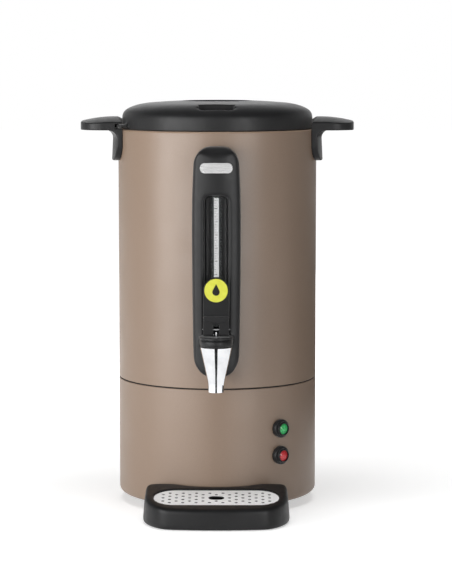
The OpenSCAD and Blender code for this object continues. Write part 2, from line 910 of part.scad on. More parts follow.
module level_strip() {
    color("white") translate([-strip_w / 2, -channel_y - strip_t, strip_z])
        cube([strip_w, strip_t, strip_h]);
}

module sight_glass() {
    color([0.8, 0.9, 0.95, 0.4]) translate([0, -glass_y, 0])
        ring(glass_r - glass_t, glass_r, glass_foot_z + slip_fit, glass_top_z);
}

module glass_cap() {
    wall_top = channel_top_z + panel_t;
    color(rubber) translate([0, -glass_y, 0]) rotate_extrude() polygon([
        [glass_r + pin_fit, wall_top + slip_fit], [socket_r, wall_top + slip_fit],
        [socket_r, glass_top_z + 2], [0, glass_top_z + 2],
        [0, glass_top_z + slip_fit], [glass_r + pin_fit, glass_top_z + slip_fit]]);
}

module glass_seal() {
    color(silicone) translate([0, -glass_y, 0])
        ring(glass_r + pin_fit, socket_r, socket_z, socket_z + seal_ring_h);
}

module gauge_shank() {
    color(chrome) difference() {
        union() {
            to_front(outlet_z) rotate_extrude() {
                translate([0, shank_in_y]) square([shank_r, tee_y0 - shank_in_y + 1]);
                translate([0, flange_y]) square([shank_flange_r, shank_flange_t]);
                translate([0, tee_y0]) square([tee_r, tee_y1 - tee_y0]);
                translate([0, tee_y1 - 1]) square([stub_r, stub_y1 - tee_y1 + 1]);
            }
            translate([0, -glass_y, outlet_z]) cylinder(r = socket_r, h = socket_z - outlet_z);
        }
        to_front(outlet_z) translate([0, 0, shank_in_y - 1])
            cylinder(r = shank_bore_r, h = stub_y1 - shank_in_y + 2);
        translate([0, -glass_y, outlet_z])
            cylinder(r = glass_r - glass_t, h = socket_z - outlet_z + 1);
        translate([0, -glass_y, glass_foot_z])
            cylinder(r = glass_r + pin_fit, h = socket_z - glass_foot_z + 1);
    }
}

module tank_nut() {
    seat = flat_seat(tank_r, tank_nut_r) - washer_t;
    color(chrome) to_front(outlet_z) hex_nut(tank_nut_r, shank_r + slip_fit, seat - tank_nut_t, seat);
}

module tank_washers() {
    seat = flat_seat(tank_r, tank_nut_r) - washer_t;
    color(silicone) {
        intersection() {
            to_front(outlet_z) ring(shank_r + slip_fit, shank_flange_r, seat, tank_r);
            cylinder(r = tank_r - pin_fit, h = rim_z);
        }
        difference() {
            to_front(outlet_z) ring(shank_r + slip_fit, shank_flange_r, tank_r - 2, flange_y);
            cylinder(r = tank_out_r + pin_fit, h = rim_z);
        }
    }
}

module tap_body() {
    top_r = spout_top_d / 2;
    tip_r = spout_tip_d / 2;
    bend_z = tip_z + tip_straight;
    bend_r = ((spout_z - bend_z) * sin(spout_taper) - (top_r - tip_r) * cos(spout_taper))
        / (1 - cos(spout_taper));
    bend_h = bend_r * sin(spout_taper);
    color(chrome) difference() {
        union() {
            at_tap() rotate_extrude() polygon(concat(
                [[0, tip_z], [tip_r, tip_z]],
                arc([tip_r + bend_r, bend_z], bend_r, 180, 180 - spout_taper, 12),
                [[top_r, spout_z], [0, spout_z]]));
            to_front(outlet_z) translate([0, 0, boss_y]) cylinder(r = tap_boss_r, h = tap_y - boss_y);
        }
        at_tap() translate([0, 0, seat_z]) cylinder(r = chamber_r, h = spout_z - seat_z + 1);
        at_tap() translate([0, 0, tip_z - 1]) cylinder(r = outlet_r, h = spout_h);
        to_front(outlet_z) cylinder(r = stub_r + pin_fit, h = stub_y1 + slip_fit);
        to_front(outlet_z) cylinder(r = shank_bore_r, h = tap_y);
    }
}

module tap_bonnet() {
    flange = collar_d / 2 - 0.1;
    color(black) at_tap() rotate_extrude() polygon([
        [stem_r + slip_fit, spout_z + spring_pocket_h], [spring_pocket_r, spout_z + spring_pocket_h],
        [spring_pocket_r, spout_z], [plug_r, spout_z], [plug_r, collar_z], [flange, collar_z],
        [flange, bonnet_z - 0.8], [flange - 0.8, bonnet_z], [stem_r + slip_fit, bonnet_z]]);
}

// Helical tube of round wire about the Z axis
module coil(r, wire_r, z0, pitch, turns, rings = 8, sides = 6) {
    n = rings * turns;
    points = [for (i = [0 : n], j = [0 : sides - 1])
        let (a = 360 * i / rings, b = 360 * j / sides, q = r + wire_r * cos(b))
        [q * cos(a), q * sin(a), z0 + pitch * i / rings + wire_r * sin(b)]];
    walls = [for (i = [0 : n - 1], j = [0 : sides - 1], half = [0, 1])
        let (k = i * sides, m = (j + 1) % sides)
        half == 0 ? [k + j, k + m, k + sides + m] : [k + j, k + sides + m, k + sides + j]];
    caps = [for (j = [1 : sides - 2], end = [0, 1])
        end == 0 ? [0, j + 1, j] : [n * sides, n * sides + j, n * sides + j + 1]];
    polyhedron(points, concat(walls, caps));
    echo(least_gap = pitch - 2 * wire_r);
}

module valve_spring() {
    color(steel) at_tap() coil(spring_r, spring_wire_r, spring_z0, spring_pitch, spring_turns);
}

module lamp_bezels() {
    color(black) for (z = [lamp_z, lamp_z + lamp_pitch]) {
        difference() {
            at_lamp(z) rotate_extrude() polygon(concat(
                [[lens_r + slip_fit, casing_r - 2], [bezel_r, casing_r - 2]],
                arc([bezel_r - bezel_round, casing_r + bezel_h - bezel_round], bezel_round, 0, 90, 6),
                [[lens_r + slip_fit, casing_r + bezel_h]]));
            cylinder(r = casing_r + seat_fit, h = seam_z);
        }
        at_lamp(z) rotate_extrude() translate([0, casing_r - lamp_len]) difference() {
            square([lamp_neck_r, lamp_len + 2]);
            translate([0, 2]) square([lens_r + slip_fit, lamp_len + 1]);
        }
    }
}

// Domed lens of a pilot lamp
module lamp_lens(z) {
    top = casing_r + bezel_h;
    dome_r = (pow(lens_r, 2) + pow(lens_dome_h, 2)) / (2 * lens_dome_h);
    dome_a = asin(lens_r / dome_r);
    at_lamp(z) rotate_extrude() polygon(concat(
        [[0, casing_r - lamp_len + 2 + slip_fit], [lens_r, casing_r - lamp_len + 2 + slip_fit]],
        arc([0, top + lens_dome_h - dome_r], dome_r, 90 - dome_a, 90, 10)));
}

module green_lens() {
    color([0.2, 0.65, 0.35]) lamp_lens(lamp_z + lamp_pitch);
}

module red_lens() {
    color([0.75, 0.15, 0.15]) lamp_lens(lamp_z);
}

module lamp_nuts() {
    seat = flat_seat(inner_r, lamp_nut_r) - slip_fit;
    color(steel) for (z = [lamp_z, lamp_z + lamp_pitch])
        at_lamp(z) hex_nut(lamp_nut_r, lamp_neck_r + slip_fit, seat - lamp_nut_h, seat);
}

module pump_tube() {
    color(steel) ring(pump_r - pump_t, pump_r, bell_seat_z + slip_fit, pump_top_z);
}

// Collar that the basket rests on
module pump_stop() {
    color(steel) ring(pump_r + pin_fit, pump_r + stop_w, basket_z - stop_h, basket_z);
}

// Bell over the sump, with a socket that the tube stands in
module pump_foot() {
    bell_t = 1.2;
    slot_n = 6;
    socket_r = pump_r + pin_fit;
    bore_r = pump_r - pump_t;
    color(steel) difference() {
        rotate_extrude() polygon([
            [pump_bell_r - bell_t, bell_z], [pump_bell_r, bell_z], [pump_bell_r, bell_z + 2],
            [socket_r + bell_t, bell_top_z], [socket_r, bell_top_z], [socket_r, bell_seat_z],
            [bore_r, bell_seat_z], [bore_r, bell_seat_z - bell_t], [pump_bell_r - bell_t, bell_z + 1]]);
        for (i = [0 : slot_n - 1])
            rotate([0, 0, 360 * i / slot_n]) translate([pump_bell_r - 4, -3, bell_z - 1]) cube([8, 6, 2]);
    }
}

module filter_basket() {
    rings = [[24, 12], [40, 20], [56, 28]];
    color(steel) difference() {
        rotate_extrude() {
            translate([sleeve_r - basket_t, basket_z]) square([basket_r - sleeve_r + basket_t, basket_t]);
            translate([basket_r - basket_t, basket_z]) square([basket_t, basket_h]);
            translate([basket_r - basket_t, basket_z + basket_h - basket_t]) square([3, basket_t]);
            translate([sleeve_r - basket_t, basket_z]) square([basket_t, basket_h - 6]);
        }
        for (row = rings, i = [0 : row[1] - 1])
            rotate([0, 0, 360 * i / row[1]]) translate([row[0], 0, basket_z - 1])
                cylinder(r = basket_hole_r, h = basket_t + 2, $fn = 16);
    }
}

module basket_cover() {
    cover_rings = [[20, 8], [36, 14], [52, 20]];
    top = basket_z + basket_h;
    color(steel) difference() {
        rotate_extrude() {
            translate([pump_r + hole_fit, top]) square([basket_r + 2 - pump_r - hole_fit, basket_t]);
            translate([basket_r - basket_t - hole_fit - 1, top - cover_lip])
                square([1, cover_lip + basket_t / 2]);
        }
        for (row = cover_rings, i = [0 : row[1] - 1])
            rotate([0, 0, 360 * i / row[1]]) translate([row[0], 0, top - 1])
                cylinder(r = basket_hole_r, h = basket_t + 2, $fn = 16);
    }
}

module lid_seal() {
    color(silicone) ring(seal_in_r, seal_out_r, seal_z, seal_z + seal_h);
}

// Places children at each lid screw
module at_lid_screws() {
    for (a = lid_boss_angles)
        rotate([0, 0, a]) translate([boss_ring_r, 0, 0]) children();
}

// Steam pocket in the front shoulder, grown by a wall o
module pocket_form(o) {
    reach = (pocket_r - shoulder_x) / lid_shoulder_w;
    floor = shoulder_z + lid_shoulder_h * sqrt(1 - pow(reach, 2)) - pocket_depth;
    half_w = pocket_w / 2 + o;
    half_l = pocket_l / 2 + o;
    translate([0, -pocket_r, floor - o]) linear_extrude(2 * pocket_depth) intersection() {
        round_rect(-half_w, -half_l, half_w, half_l + pocket_l, half_l - 1);
        translate([-half_w, -half_l]) square([2 * half_w, 2 * half_l]);
    }
}

module lid_shell() {
    color(black) difference() {
        union() {
            rotate_extrude() difference() {
                polygon(lid_outline(0));
                difference() {
                    polygon(lid_outline(lid_t));
                    polygon(dish_outline(lid_t));
                }
                translate([0, lid_z - 1]) square([lid_r - lid_t, 1 + liner_z + liner_t - lid_z]);
                polygon(dish_outline(0));
            }
            intersection() {
                translate([-dish_r - 1, -grip_bar_w / 2, dish_z - 1])
                    cube([2 * dish_r + 2, grip_bar_w, dish_depth + 1 - grip_bar_drop]);
                rotate_extrude() polygon(lid_outline(0.3));
            }
            intersection() {
                union() {
                    pocket_form(lid_t);
                    at_lid_screws() translate([0, 0, liner_z + liner_t]) cylinder(r = boss_r, h = lid_h);
                }
                rotate_extrude() polygon(lid_outline(lid_t / 2));
            }
            for (a = [lid_turn_a, lid_turn_a + 180])
                rotate([0, 0, a - tab_half_a]) rotate_extrude(angle = 2 * tab_half_a)
                    translate([tab_in_r, tab_z]) square([tab_out_r - tab_in_r, tab_t]);
        }
        pocket_form(0);
        for (x = [-pocket_w / 4, 0, pocket_w / 4])
            translate([x, -pocket_r, liner_z + liner_t]) cylinder(r = vent_d / 2, h = lid_h);
        at_lid_screws() translate([0, 0, liner_z])
            cylinder(r = lid_screw_r + pin_fit, h = lid_screw_len + 1);
    }
}

module lid_liner() {
    vent_n = 8;
    vent_ring_r = 50;
    color(steel) difference() {
        rotate_extrude() {
            translate([0, liner_z]) square([liner_r, liner_t]);
            translate([skirt_r - skirt_t, liner_z - skirt_h]) square([skirt_t, skirt_h + liner_t / 2]);
        }
        at_lid_screws() translate([0, 0, liner_z - 1]) cylinder(r = lid_screw_r + slip_fit, h = liner_t + 2);
        for (i = [0 : vent_n - 1])
            rotate([0, 0, 360 * (i + 0.5) / vent_n]) translate([vent_ring_r, 0, liner_z - 1])
                cylinder(r = vent_d / 2, h = liner_t + 2);
    }
}

module lid_screws() {
    color(steel) at_lid_screws() translate([0, 0, liner_z])
        pan_screw(lid_screw_r, lid_screw_head_r, screw_head_h - 0.6, lid_screw_len);
}

module valve_stem() {
    color(chrome) difference() {
        union() {
            at_tap() rotate_extrude() {
                translate([0, stem_foot_z]) square([stem_r, pin_z - stem_foot_z]);
                translate([0, cup_top_z]) square([stem_plate_r, stem_plate_t]);
            }
            at_pin() rotate([0, 90, 0]) translate([0, 0, -eye_w / 2]) cylinder(r = eye_r, h = eye_w);
        }
        at_pin() rotate([0, 90, 0]) translate([0, 0, -eye_w]) cylinder(r = pin_r + pin_fit, h = 2 * eye_w);
    }
}

module seat_cup() {
    color(silicone) at_tap() rotate_extrude() difference() {
        polygon([[0, cup_z - cup_nose_h], [cup_nose_r - 1, cup_z - cup_nose_h], [cup_nose_r, cup_z],
            [cup_r, cup_z], [cup_r, cup_z + 3], [cup_r - 2.5, cup_top_z], [0, cup_top_z]]);
        translate([0, stem_foot_z - pin_fit]) square([stem_r + pin_fit, cup_h + 2]);
    }
}

module lever_pin() {
    color(chrome) at_pin() rotate([0, 90, 0]) translate([0, 0, -lever_pin_l / 2])
        cylinder(r = pin_r, h = lever_pin_l);
}

// Places children on the front face of the paddle: X across, Y up, Z out of the face
module on_paddle() {
    at_pin() translate([0, -lip_u, lip_v]) rotate([90 - paddle_lean, 0, 0]) children();
}

module tap_lever() {
    paddle_l = (lever_h - lip_v) / cos(paddle_lean);
    yoke_front = cam_point(cam_end_a)[0] + 0.4;
    lip_w = lever_w - 1.2;
    color(black) difference() {
        union() {
            on_paddle() translate([0, 0, -paddle_t]) linear_extrude(paddle_t) {
                translate([-lever_w / 2, 0]) square([lever_w, paddle_l - lever_w / 2]);
                translate([0, paddle_l - lever_w / 2]) circle(lever_w / 2);
            }
            at_pin() rotate([90, 0, 0]) translate([0, lip_v + 1 - lip_tall, lip_u + lip_proud - lip_deep])
                linear_extrude(lip_deep) intersection() {
                    round_rect(-lip_w / 2, 0, lip_w / 2, 2 * lip_tall, lip_corner_r);
                    translate([-lip_w / 2, 0]) square([lip_w, lip_tall]);
                }
            at_pin() rotate([90, 0, -90]) translate([0, 0, -yoke_w / 2]) linear_extrude(yoke_w)
                polygon(concat(
                    [[-yoke_back, lip_v - 3], [-yoke_back, -cam_h]],
                    [for (a = [0 : 5 : cam_end_a]) cam_point(a)],
                    [[yoke_front, lip_v - 5], [lip_u - paddle_t, lip_v + 8], [2, lip_v + 8]]));
        }
        at_pin() translate([-yoke_slot_w / 2, -2 * lip_u, -pin_h - 1])
            cube([yoke_slot_w, 4 * lip_u, pin_h + 1 + yoke_slot_top]);
        at_pin() rotate([0, 90, 0]) translate([0, 0, -lever_w])
            cylinder(r = pin_r + pin_fit, h = 2 * lever_w);
    }
}

module lever_badge() {
    paddle_l = (lever_h - lip_v) / cos(paddle_lean);
    color([0.87, 0.87, 0.31]) on_paddle() translate([0, paddle_l - lever_w / 2, 0])
        cylinder(r = badge_d / 2, h = badge_t);
}

// Plan of the tray at its foot
module tray_plan() {
    intersection() {
        round_rect(-tray_w / 2, -tray_front, tray_w / 2, tray_corner_r - casing_r / 2, tray_corner_r);
        round_rect(-tray_w / 2, -2 * tray_front, tray_w / 2, tray_horn - casing_r, tray_horn_r);
        translate([0, tray_bow_r - tray_front]) circle(tray_bow_r, $fn = 360);
    }
}

// Places children on the sloping plane of the tray rim
module on_tray_rim() {
    translate([0, -casing_r, tray_back_h]) rotate([tray_slope, 0, 0]) children();
}

// Plan of the grid, grown by o
module grid_plan(o) {
    half_w = grid_w / 2 + o;
    half_l = grid_l / 2 + o;
    translate([0, -grid_y]) round_rect(-half_w, -half_l, half_w, half_l, grid_corner_r + o);
}

module drip_tray() {
    mid_y = casing_r + tray_reach / 2;
    big = 2 * tray_w;
    color(black) difference() {
        translate([0, -mid_y, 0]) linear_extrude(tray_draft_h, scale = tray_draft)
            translate([0, mid_y]) tray_plan();
        on_tray_rim() translate([-big / 2, -big / 2, 0]) cube([big, big, big]);
        translate([0, 0, -1]) cylinder(r = casing_r + tray_gap, h = big);
        on_tray_rim() translate([0, 0, -grid_drop]) linear_extrude(grid_drop + 1) grid_plan(grid_fit);
        translate([0, -casing_r, tray_t]) linear_extrude(big) grid_plan(-grid_ledge);
    }
}

module drip_grid() {
    rows = floor((grid_l / 2 - perf_edge) / perf_y);
    cols = floor((grid_w / 2 - perf_edge) / perf_x);
    color(steel) on_tray_rim() translate([0, 0, grid_rest - grid_drop]) linear_extrude(grid_t)
        difference() {
            grid_plan(0);
            translate([0, -grid_y])
                round_rect(-drain_l / 2, -drain_w / 2, drain_l / 2, drain_w / 2, drain_w / 2 - 0.2);
            for (j = [-rows : rows], i = [-cols - 1 : cols + 1]) {
                x = perf_x * (i + (j % 2 == 0 ? 0 : 0.5));
                y = perf_y * j;
                if (inside_grid(x, y) && norm([x / drain_l, y / drain_w]) > 0.8)
                    translate([x, y - grid_y]) circle(perf_d / 2, $fn = 24);
            }
        }
}

outer_shell();
base_housing();
base_cover();
foot_ring();
foot_screws();
tie_rods();
tie_nuts();
inner_tank();
heater_plate();
heating_element();
thermostat();
thermal_cutout();
terminal_block();
cord_gland();
gland_nut();
left_handle();
right_handle();
handle_screws();
front_panel();
panel_screws();
badge_plate();
level_strip();
sight_glass();
glass_cap();
glass_seal();
gauge_shank();
tank_nut();
tank_washers();
tap_body();
tap_bonnet();
valve_spring();
lamp_bezels();
green_lens();
red_lens();
lamp_nuts();
pump_tube();
pump_stop();
pump_foot();
filter_basket();
basket_cover();
lid_seal();
lid_shell();
lid_liner();
lid_screws();
valve_stem();
seat_cup();
lever_pin();
tap_lever();
lever_badge();
drip_tray();
drip_grid();
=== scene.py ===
import json
import math

import bmesh
import bpy
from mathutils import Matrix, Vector


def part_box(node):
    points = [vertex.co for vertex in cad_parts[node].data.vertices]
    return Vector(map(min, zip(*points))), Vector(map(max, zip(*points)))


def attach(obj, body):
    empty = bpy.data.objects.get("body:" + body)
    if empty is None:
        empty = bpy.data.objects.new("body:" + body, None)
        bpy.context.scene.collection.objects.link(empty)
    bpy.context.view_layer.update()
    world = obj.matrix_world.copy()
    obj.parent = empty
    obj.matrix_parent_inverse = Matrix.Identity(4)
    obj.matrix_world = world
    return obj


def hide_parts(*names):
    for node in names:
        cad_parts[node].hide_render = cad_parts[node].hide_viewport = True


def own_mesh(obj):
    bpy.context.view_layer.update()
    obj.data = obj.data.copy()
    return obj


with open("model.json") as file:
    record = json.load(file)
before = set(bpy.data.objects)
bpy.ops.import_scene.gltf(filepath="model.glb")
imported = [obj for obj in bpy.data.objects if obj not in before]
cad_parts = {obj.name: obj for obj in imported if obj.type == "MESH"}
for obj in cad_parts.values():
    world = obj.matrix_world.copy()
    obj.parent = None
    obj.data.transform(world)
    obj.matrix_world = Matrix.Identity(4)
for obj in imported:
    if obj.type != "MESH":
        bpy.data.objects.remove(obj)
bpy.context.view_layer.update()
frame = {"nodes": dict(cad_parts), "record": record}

nodes = frame["nodes"]
record = frame["record"]
scene = bpy.context.scene
MM = 0.001

body_of_node = {
    node: body for body, members in record["behaviour"]["bodies"].items() for node in members}
slot_of_node = {entry["node"]: entry["material_slot"] for entry in record["subparts"]}


# Material helpers

# Values of the noise between which colour and roughness change
COLOUR_SPAN = (0.35, 0.65)
ROUGHNESS_SPAN = (0.3, 0.7)


def srgb(red, green, blue):
    """Linear colour from 0 to 255 display values."""
    def linear(value):
        value /= 255
        return value / 12.92 if value <= 0.04045 else ((value + 0.055) / 1.055) ** 2.4
    return (linear(red), linear(green), linear(blue), 1)


def set_range(node, start, end, low, high):
    """Sets a Map Range node to run from low to high as its value goes from start to end."""
    sockets = ("From Min", "From Max", "To Min", "To Max")
    for socket, number in zip(sockets, (start, end, low, high)):
        node.inputs[socket].default_value = number


class Surface:
    """A Principled material whose detail comes from noise in the object's own coordinates."""

    def __init__(self, name, **constants):
        self.material = bpy.data.materials.new(name)
        self.material.use_nodes = True
        self.tree = self.material.node_tree
        self.tree.nodes.clear()
        self.shader = self.add("BsdfPrincipled")
        self.link(self.shader.outputs["BSDF"], self.add("OutputMaterial").inputs["Surface"])
        for socket, value in constants.items():
            self.shader.inputs[socket.replace("_", " ")].default_value = value

    def add(self, kind):
        return self.tree.nodes.new("ShaderNode" + kind)

    def link(self, source, target):
        self.tree.links.new(source, target)

    def grain(self, size, detail=2, stretch=(1, 1, 1)):
        """Noise with features of about this size in metres, longer where the stretch is small."""
        place = self.add("TexCoord")
        mapping = self.add("Mapping")
        mapping.inputs["Scale"].default_value = stretch
        noise = self.add("TexNoise")
        noise.inputs["Scale"].default_value = 1 / size
        noise.inputs["Detail"].default_value = detail
        self.link(place.outputs["Object"], mapping.inputs["Vector"])
        self.link(mapping.outputs["Vector"], noise.inputs["Vector"])
        return noise.outputs["Fac"]

    def colour(self, factor, dark, light):
        """Base colour that goes from dark to light with the noise."""
        ramp = self.add("ValToRGB")
        for stop, position, value in zip(ramp.color_ramp.elements, COLOUR_SPAN, (dark, light)):
            stop.position = position
            stop.color = value
        self.link(factor, ramp.inputs["Fac"])
        self.link(ramp.outputs["Color"], self.shader.inputs["Base Color"])
        return ramp.outputs["Color"]

    def paint_shade_upright(self, colour, dark):
        """Painted shade: faces that stand upright, such as the walls of holes, take the dark
        colour.
        """
        geometry = self.add("NewGeometry")
        parts = self.add("SeparateXYZ")
        level = self.add("Math")
        level.operation = "ABSOLUTE"
        mix = self.add("MixRGB")
        mix.inputs["Color1"].default_value = dark
        self.link(geometry.outputs["Normal"], parts.inputs["Vector"])
        self.link(parts.outputs["Z"], level.inputs[0])
        self.link(level.outputs["Value"], mix.inputs["Fac"])
        self.link(colour, mix.inputs["Color2"])
        self.link(mix.outputs["Color"], self.shader.inputs["Base Color"])

    def roughness(self, factor, low, high):
        """Roughness that goes from low to high with the noise."""
        spread = self.add("MapRange")
        set_range(spread, *ROUGHNESS_SPAN, low, high)
        self.link(factor, spread.inputs["Value"])
        self.link(spread.outputs["Result"], self.shader.inputs["Roughness"])

    def relief(self, factor, depth):
        """Bump of this depth in metres."""
        bump = self.add("Bump")
        bump.inputs["Distance"].default_value = depth
        bump.inputs["Strength"].default_value = 1.0
        self.link(factor, bump.inputs["Height"])
        self.link(bump.outputs["Normal"], self.shader.inputs["Normal"])


def make_taupe_paint():
    """Satin baked paint with a fine metallic speckle."""
    skin = Surface("taupe_paint", Metallic=0.0, Specular_IOR_Level=0.68)
    speckle = skin.grain(0.35 * MM, 3)
    skin.colour(speckle, srgb(137, 115, 97), srgb(149, 127, 109))
    skin.roughness(skin.grain(30 * MM, 2), 0.4, 0.46)
    skin.relief(skin.grain(0.6 * MM, 2), 0.012 * MM)
    return skin.material


def make_black_plastic(name, sheen):
    """Black moulding with a fine spark-eroded grain."""
    skin = Surface(name, Specular_IOR_Level=0.28, Sheen_Weight=sheen, Sheen_Roughness=0.4)
    cloud = skin.grain(25 * MM, 3)
    skin.colour(cloud, srgb(22, 22, 23), srgb(27, 27, 28))
    skin.roughness(skin.grain(8 * MM, 2), 0.38, 0.46)
    skin.relief(skin.grain(0.45 * MM, 3), 0.03 * MM)
    return skin.material


def make_stainless():
    """Stainless sheet with fine straight brushing."""
    skin = Surface("stainless", Metallic=1.0)
    brushing = skin.grain(0.5 * MM, 4, (0.02, 1, 1))
    skin.colour(brushing, srgb(205, 205, 204), srgb(226, 226, 225))
    skin.roughness(brushing, 0.24, 0.36)
    skin.relief(brushing, 0.004 * MM)
    return skin.material


def make_satin_steel():
    """Pale blasted plate, more matt than bright; its near-white colour is partly the steel's own
    and partly a painted reflection of the bright room.
    """
    skin = Surface("satin_steel", Specular_IOR_Level=0.12)
    sand = skin.grain(0.5 * MM, 3)
    pale_with_painted_reflection = skin.colour(sand, srgb(246, 246, 246), srgb(253, 253, 253))
    # Painted shade on upright faces, such as the walls of the holes
    skin.paint_shade_upright(pale_with_painted_reflection, srgb(84, 84, 84))
    skin.roughness(sand, 0.42, 0.55)
    skin.relief(sand, 0.01 * MM)
    return skin.material


def make_chrome():
    """Bright plating with a faint polish haze."""
    skin = Surface("chrome", Metallic=1.0)
    haze = skin.grain(12 * MM, 2)
    skin.colour(haze, srgb(222, 223, 225), srgb(234, 235, 237))
    skin.roughness(haze, 0.06, 0.1)
    return skin.material


def make_zinc():
    """Zinc-plated hardware."""
    skin = Surface("zinc", Metallic=1.0)
    cloud = skin.grain(2 * MM, 4)
    skin.colour(cloud, srgb(176, 177, 176), srgb(204, 203, 198))
    skin.roughness(cloud, 0.3, 0.45)
    return skin.material


def make_black_rubber():
    """Dull rubber."""
    skin = Surface("black_rubber", Specular_IOR_Level=0.35)
    cloud = skin.grain(3 * MM, 4)
    skin.colour(cloud, srgb(28, 28, 28), srgb(40, 40, 40))
    skin.roughness(cloud, 0.7, 0.85)
    skin.relief(skin.grain(0.5 * MM, 2), 0.03 * MM)
    return skin.material


def make_silicone():
    """Pale silicone with a soft sheen."""
    skin = Surface("silicone", Subsurface_Weight=0.15, Subsurface_Scale=0.002)
    cloud = skin.grain(6 * MM, 3)
    skin.colour(cloud, srgb(214, 211, 202), srgb(228, 226, 219))
    skin.roughness(cloud, 0.45, 0.6)
    return skin.material


def make_clear_tube():
    """Clear drawn tube, thin enough to see straight through."""
    skin = Surface("clear_tube", Alpha=0.07, IOR=1.45)
    streak = skin.grain(6 * MM, 2, (1, 1, 0.05))
    skin.colour(streak, srgb(150, 156, 156), srgb(170, 175, 175))
    skin.roughness(streak, 0.01, 0.03)
    return skin.material


def make_white_plastic():
    """White strip with a painted glow, an emission that brightens it in the shade of the panel's
    deep channel.
    """
    skin = Surface(
        "white_plastic", Specular_IOR_Level=0.4,
        Emission_Color=srgb(255, 255, 255), Emission_Strength=0.42)
    cloud = skin.grain(5 * MM, 2)
    skin.colour(cloud, srgb(240, 240, 238), srgb(248, 248, 247))
    skin.roughness(cloud, 0.35, 0.45)
    return skin.material


def make_silver_plate():
    """Satin silver plate with cross brushing."""
    skin = Surface("silver_plate", Metallic=1.0)
    brushing = skin.grain(0.4 * MM, 4, (0.03, 1, 1))
    skin.colour(brushing, srgb(206, 206, 206), srgb(224, 224, 224))
    skin.roughness(brushing, 0.2, 0.32)
    return skin.material


def make_lens(name, dark, light):
    """Coloured lens with a painted glow, an emission that stands in for light thrown back by the
    reflector behind it.
    """
    skin = Surface(
        name, IOR=1.49, Subsurface_Weight=0.2, Subsurface_Scale=0.004,
        Emission_Color=light, Emission_Strength=0.14)
    facets = skin.grain(1.6 * MM, 0)
    skin.colour(facets, dark, light)
    skin.roughness(facets, 0.2, 0.3)
    skin.relief(facets, 0.05 * MM)
    return skin.material


def make_lime_badge():
    """Gloss lime yellow disc."""
    skin = Surface("lime_badge", Coat_Weight=0.3, Coat_Roughness=0.15)
    cloud = skin.grain(4 * MM, 2)
    skin.colour(cloud, srgb(219, 220, 70), srgb(226, 227, 84))
    skin.roughness(cloud, 0.3, 0.4)
    return skin.material


def make_cast_aluminium():
    """Cast surface with a sandy grain."""
    skin = Surface("cast_aluminium", Metallic=1.0)
    sand = skin.grain(0.8 * MM, 4)
    skin.colour(sand, srgb(150, 150, 150), srgb(188, 188, 187))
    skin.roughness(sand, 0.45, 0.6)
    skin.relief(sand, 0.06 * MM)
    return skin.material


def make_heater_sheath():
    """Heat-tinted steel tube."""
    skin = Surface("heater_sheath", Metallic=1.0)
    tint = skin.grain(9 * MM, 4)
    skin.colour(tint, srgb(96, 82, 74), srgb(150, 138, 126))
    skin.roughness(tint, 0.35, 0.5)
    return skin.material


def make_cream_plastic():
    """Cream insulating moulding."""
    skin = Surface("cream_plastic", Specular_IOR_Level=0.4)
    cloud = skin.grain(4 * MM, 3)
    skin.colour(cloud, srgb(218, 212, 196), srgb(230, 225, 212))
    skin.roughness(cloud, 0.5, 0.62)
    return skin.material


materials = {
    "taupe_paint": make_taupe_paint(),
    "black_plastic": make_black_plastic("black_plastic", sheen=0.22),
    "dull_black": make_black_plastic("dull_black", sheen=0.02),
    "stainless": make_stainless(),
    "satin_steel": make_satin_steel(),
    "chrome": make_chrome(),
    "zinc": make_zinc(),
    "black_rubber": make_black_rubber(),
    "silicone": make_silicone(),
    "clear_tube": make_clear_tube(),
    "white_plastic": make_white_plastic(),
    "silver_plate": make_silver_plate(),
    "green_plastic": make_lens("green_plastic", srgb(40, 158, 84), srgb(64, 186, 108)),
    "red_plastic": make_lens("red_plastic", srgb(176, 36, 44), srgb(206, 60, 66)),
    "lime_badge": make_lime_badge(),
    "cast_aluminium": make_cast_aluminium(),
    "heater_sheath": make_heater_sheath(),
    "cream_plastic": make_cream_plastic(),
}


# Mesh helpers

# Distances in metres below which vertices are one, angles in degrees
WELD = 1e-6
LATHE_WELD = 1e-7
FLAT_ANGLE = 0.4
SHARP_ANGLE = 32
SOFT_SHARP_ANGLE = 60
RELAX_FACTOR = 0.5
ROUND_PASSES = 160


def dress(obj, slot):
    """Gives a piece the one material of a slot."""
    obj.data.materials.clear()
    obj.data.materials.append(materials[slot])


def shade(mesh, angle=SHARP_ANGLE):
    """Smooth shading with sharp edges above an angle in degrees."""
    if "custom_normal" in mesh.attributes:
        mesh.attributes.remove(mesh.attributes["custom_normal"])
    for face in mesh.polygons:
        face.use_smooth = True
    mesh.set_sharp_from_angle(angle=math.radians(angle))


def stand_in(obj, node):
    """The piece replaces a CAD node, moves with its body and takes its finish."""
    dress(obj, slot_of_node[node])
    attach(obj, body_of_node[node])
    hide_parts(node)


def add_piece(obj, body, slot):
    """A piece with no CAD node of its own."""
    dress(obj, slot)
    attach(obj, body)


def new_object(name, data):
    obj = bpy.data.objects.new(name, data)
    scene.collection.objects.link(obj)
    return obj


def finished(work, name):
    """Turns a bmesh into a shaded object."""
    mesh = bpy.data.meshes.new(name)
    work.to_mesh(mesh)
    work.free()
    shade(mesh)
    return new_object(name, mesh)


def baked(obj):
    """Applies an object's modifiers to its mesh."""
    graph = bpy.context.evaluated_depsgraph_get()
    mesh = bpy.data.meshes.new_from_object(obj.evaluated_get(graph))
    obj.modifiers.clear()
    obj.data = mesh
    return obj


def clean_copy(node):
    """Copy of a node with joined vertices and smooth shading."""
    work = bmesh.new()
    work.from_mesh(nodes[node].data)
    bmesh.ops.remove_doubles(work, verts=work.verts, dist=WELD)
    bmesh.ops.dissolve_limit(
        work, angle_limit=math.radians(FLAT_ANGLE), verts=work.verts, edges=work.edges)
    obj = finished(work, node + "_form")
    stand_in(obj, node)
    return obj


def relax(obj, passes, group=""):
    """Smooths an object, or one of its vertex groups."""
    smooth = obj.modifiers.new("Relax", "SMOOTH")
    smooth.factor = RELAX_FACTOR
    smooth.iterations = passes
    smooth.vertex_group = group


